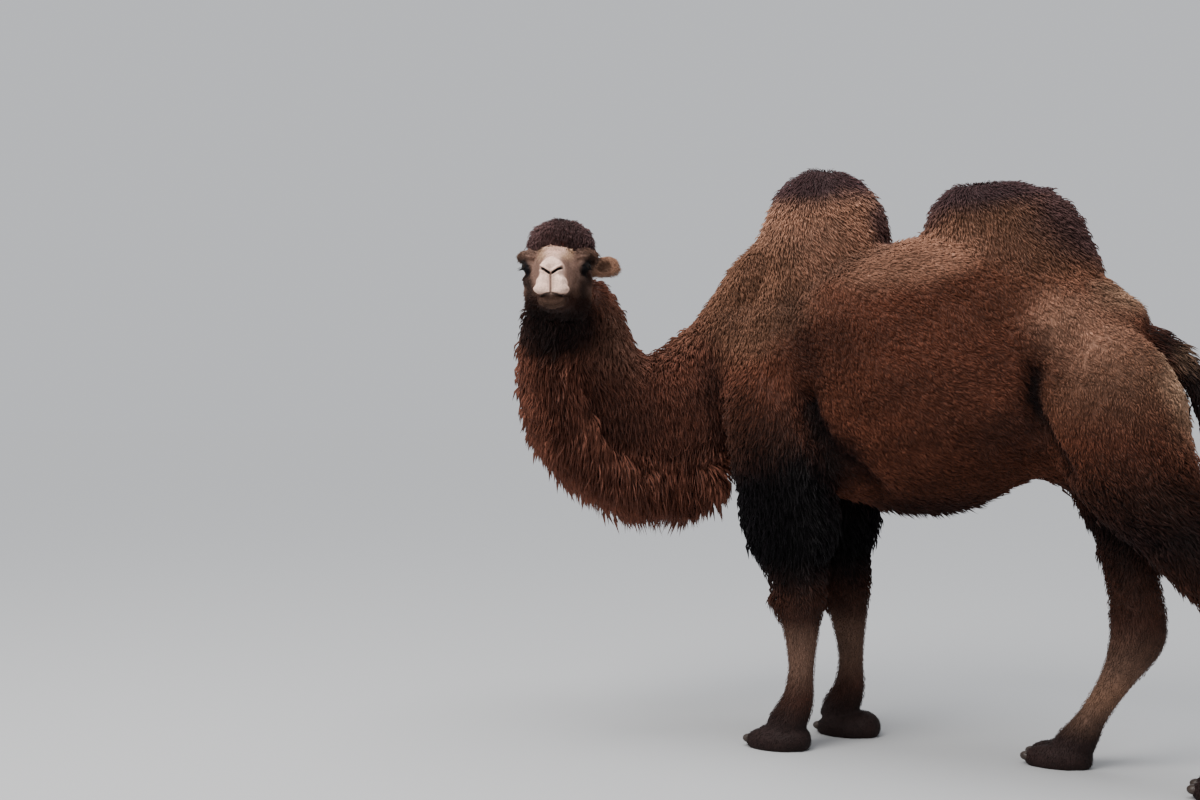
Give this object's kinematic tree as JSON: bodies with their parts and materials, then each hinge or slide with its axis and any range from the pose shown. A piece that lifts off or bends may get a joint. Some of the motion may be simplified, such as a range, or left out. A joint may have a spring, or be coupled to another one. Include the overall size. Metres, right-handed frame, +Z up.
{
  "type": "bactrian camel model",
  "caption": "Life-size still model of a standing two-humped camel in its woolly coat, head turned back to its left.",
  "frame": {"origin": "on the ground under the centre of the bounding box", "axes": "+Z up, -X the way the body faces (the head is turned back towards -Y), +X the tail, -Y the animal's left side"},
  "size_m": [2.6596, 1.3262, 2.1867],
  "materials": {
    "face": "short pale-brown fur, cream on the muzzle",
    "eye": "wet, very dark brown",
    "dark_wool": "long blackish-brown wool",
    "red_wool": "long rusty-brown wool",
    "brown_wool": "crimped mid-brown wool, paler on hips and hump sides",
    "short_fur": "short grey-brown fur",
    "foot": "dark short fur over horny skin"
  },
  "bodies": {
    "root": {"head": "face", "jaw": "face", "ear_left": "face", "ear_right": "face", "eye_left": "eye", "eye_right": "eye", "topknot": "dark_wool", "neck_upper": "red_wool", "neck_lower": "red_wool", "throat_mane": "red_wool", "trunk": "brown_wool", "hump_front": "dark_wool", "hump_rear": "dark_wool", "tail": "dark_wool", "foreleg_upper_left": "dark_wool", "foreleg_lower_left": "short_fur", "forefoot_left": "foot", "foreleg_upper_right": "dark_wool", "foreleg_lower_right": "short_fur", "forefoot_right": "foot", "hindleg_upper_left": "brown_wool", "hindleg_lower_left": "short_fur", "hindfoot_left": "foot", "hindleg_upper_right": "brown_wool", "hindleg_lower_right": "short_fur", "hindfoot_right": "foot"}
  },
  "joints": []
}
